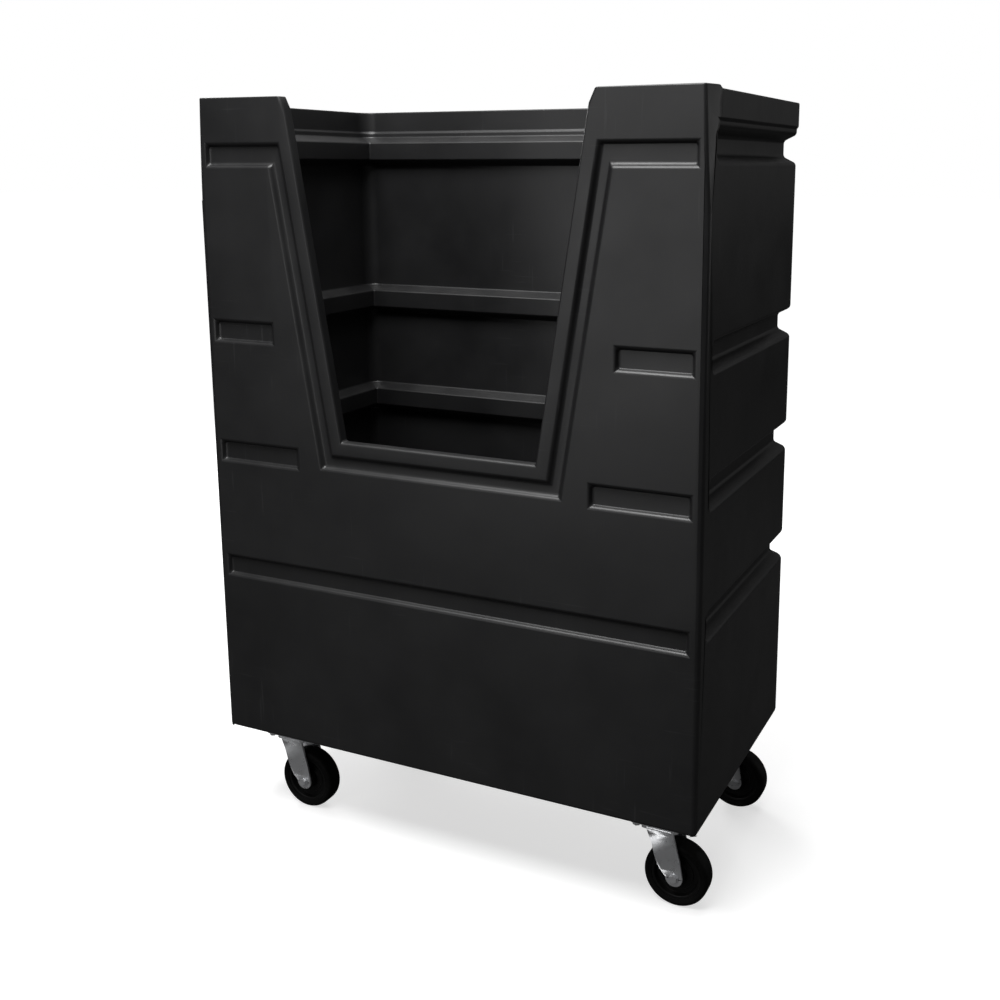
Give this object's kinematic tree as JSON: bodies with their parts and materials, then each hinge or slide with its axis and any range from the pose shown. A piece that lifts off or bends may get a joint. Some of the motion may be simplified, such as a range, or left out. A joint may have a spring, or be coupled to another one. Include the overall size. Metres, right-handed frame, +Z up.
{
  "type": "bulk truck",
  "caption": "Tall open-topped moulded tub with a V-shaped front opening and stiffening grooves, on four free-swivelling casters, for moving laundry, parcels or waste.",
  "frame": {"origin": "on the floor, under the middle of the truck's outline", "axes": "+Z up; +X to the right as seen from the front; the V opening faces -Y"},
  "size_m": [1.244, 0.69, 1.778],
  "materials": {
    "tub_plastic": "satin moulded polyethylene",
    "deck_plywood": "sanded plywood, unpainted",
    "bolster_wood": "planed hardwood",
    "zinc_plate": "bright zinc plate on pressed steel",
    "bearing_steel": "oiled steel",
    "wheel_core_plastic": "satin moulded polyolefin",
    "wheel_tread_rubber": "matt moulded rubber"
  },
  "bodies": {
    "tub": {"tub_shell": "tub_plastic", "deck_board": "deck_plywood", "left_bolster": "bolster_wood", "right_bolster": "bolster_wood", "front_left_top_plate": "zinc_plate", "front_left_ball_race": "zinc_plate", "front_left_kingpin": "zinc_plate", "front_left_plate_bolt_1": "zinc_plate", "front_left_plate_bolt_2": "zinc_plate", "front_left_plate_bolt_3": "zinc_plate", "front_left_plate_bolt_4": "zinc_plate", "front_right_top_plate": "zinc_plate", "front_right_ball_race": "zinc_plate", "front_right_kingpin": "zinc_plate", "front_right_plate_bolt_1": "zinc_plate", "front_right_plate_bolt_2": "zinc_plate", "front_right_plate_bolt_3": "zinc_plate", "front_right_plate_bolt_4": "zinc_plate", "rear_left_top_plate": "zinc_plate", "rear_left_ball_race": "zinc_plate", "rear_left_kingpin": "zinc_plate", "rear_left_plate_bolt_1": "zinc_plate", "rear_left_plate_bolt_2": "zinc_plate", "rear_left_plate_bolt_3": "zinc_plate", "rear_left_plate_bolt_4": "zinc_plate", "rear_right_top_plate": "zinc_plate", "rear_right_ball_race": "zinc_plate", "rear_right_kingpin": "zinc_plate", "rear_right_plate_bolt_1": "zinc_plate", "rear_right_plate_bolt_2": "zinc_plate", "rear_right_plate_bolt_3": "zinc_plate", "rear_right_plate_bolt_4": "zinc_plate"},
    "front_left_swivel": {"front_left_fork": "zinc_plate", "front_left_axle_bolt": "zinc_plate", "front_left_axle_nut": "zinc_plate", "front_left_axle_sleeve": "bearing_steel"},
    "front_left_wheel": {"front_left_wheel_tread": "wheel_tread_rubber", "front_left_wheel_core": "wheel_core_plastic", "front_left_roller_bearing": "bearing_steel"},
    "front_right_swivel": {"front_right_fork": "zinc_plate", "front_right_axle_bolt": "zinc_plate", "front_right_axle_nut": "zinc_plate", "front_right_axle_sleeve": "bearing_steel"},
    "front_right_wheel": {"front_right_wheel_tread": "wheel_tread_rubber", "front_right_wheel_core": "wheel_core_plastic", "front_right_roller_bearing": "bearing_steel"},
    "rear_left_swivel": {"rear_left_fork": "zinc_plate", "rear_left_axle_bolt": "zinc_plate", "rear_left_axle_nut": "zinc_plate", "rear_left_axle_sleeve": "bearing_steel"},
    "rear_left_wheel": {"rear_left_wheel_tread": "wheel_tread_rubber", "rear_left_wheel_core": "wheel_core_plastic", "rear_left_roller_bearing": "bearing_steel"},
    "rear_right_swivel": {"rear_right_fork": "zinc_plate", "rear_right_axle_bolt": "zinc_plate", "rear_right_axle_nut": "zinc_plate", "rear_right_axle_sleeve": "bearing_steel"},
    "rear_right_wheel": {"rear_right_wheel_tread": "wheel_tread_rubber", "rear_right_wheel_core": "wheel_core_plastic", "rear_right_roller_bearing": "bearing_steel"}
  },
  "joints": [
    {"name": "front_left_swivel_turn", "type": "hinge", "parent": "tub", "child": "front_left_swivel", "pos_m": [-0.501, -0.229, 0.183], "axis": [0, 0, 1], "continuous": true},
    {"name": "front_left_wheel_roll", "type": "hinge", "parent": "front_left_swivel", "child": "front_left_wheel", "pos_m": [-0.459, -0.229, 0.075], "axis": [0, 1, 0], "continuous": true},
    {"name": "front_right_swivel_turn", "type": "hinge", "parent": "tub", "child": "front_right_swivel", "pos_m": [0.501, -0.229, 0.183], "axis": [0, 0, 1], "continuous": true},
    {"name": "front_right_wheel_roll", "type": "hinge", "parent": "front_right_swivel", "child": "front_right_wheel", "pos_m": [0.543, -0.229, 0.075], "axis": [0, 1, 0], "continuous": true},
    {"name": "rear_left_swivel_turn", "type": "hinge", "parent": "tub", "child": "rear_left_swivel", "pos_m": [-0.501, 0.229, 0.183], "axis": [0, 0, 1], "continuous": true},
    {"name": "rear_left_wheel_roll", "type": "hinge", "parent": "rear_left_swivel", "child": "rear_left_wheel", "pos_m": [-0.459, 0.229, 0.075], "axis": [0, 1, 0], "continuous": true},
    {"name": "rear_right_swivel_turn", "type": "hinge", "parent": "tub", "child": "rear_right_swivel", "pos_m": [0.501, 0.229, 0.183], "axis": [0, 0, 1], "continuous": true},
    {"name": "rear_right_wheel_roll", "type": "hinge", "parent": "rear_right_swivel", "child": "rear_right_wheel", "pos_m": [0.543, 0.229, 0.075], "axis": [0, 1, 0], "continuous": true}
  ]
}
